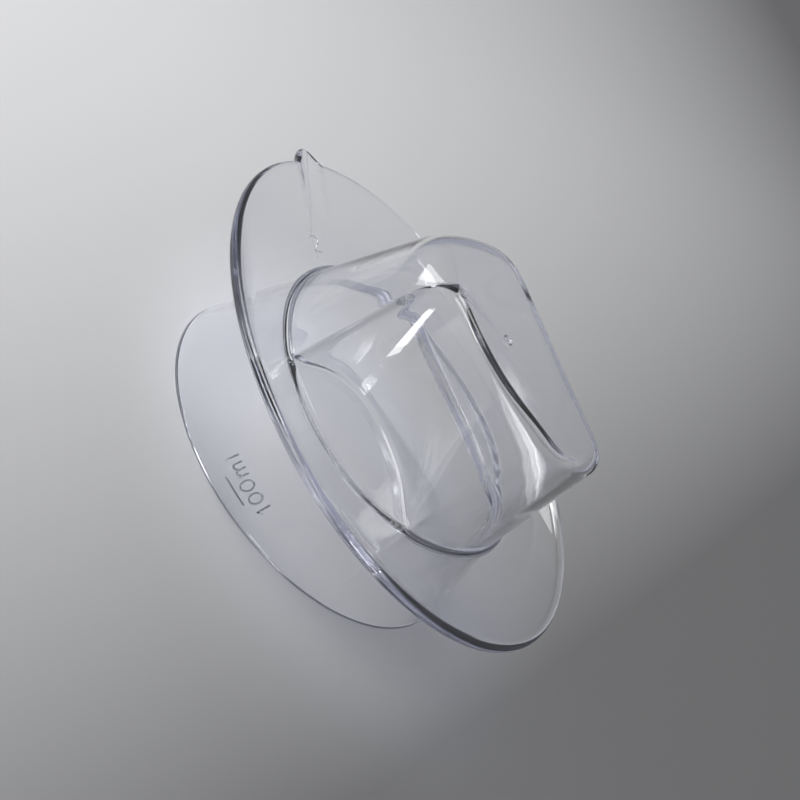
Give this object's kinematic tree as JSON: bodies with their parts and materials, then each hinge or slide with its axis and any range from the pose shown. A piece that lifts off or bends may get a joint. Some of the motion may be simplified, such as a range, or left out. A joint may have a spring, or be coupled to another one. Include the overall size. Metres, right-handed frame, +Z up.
{
  "type": "filler cap measuring cup",
  "caption": "Clear one-piece filler cap and measuring cup: oval dished brim with a pointing nub, hollowed grip above, plain open skirt below with a volume line.",
  "frame": {"origin": "middle of the plane that the skirt's rim stands on", "axes": "+Z up from the rim through the grip's top, +X along the brim away from the nub, -Y towards the hollowed front of the grip"},
  "size_m": [0.1056, 0.0868, 0.047],
  "materials": {
    "clear_plastic": "clear moulded plastic, polished, faint blue-violet in its thick edges"
  },
  "bodies": {
    "root": {"skirt": "clear_plastic", "brim": "clear_plastic", "nub": "clear_plastic", "floor_front": "clear_plastic", "floor_rear": "clear_plastic", "grip_front": "clear_plastic", "grip_right": "clear_plastic", "grip_rear": "clear_plastic", "grip_left": "clear_plastic", "grip_edge": "clear_plastic", "grip_top": "clear_plastic", "gate_mark": "clear_plastic", "line_mark": "clear_plastic", "figure_mark": "clear_plastic", "unit_mark": "clear_plastic", "cavity_mark": "clear_plastic"}
  },
  "joints": []
}
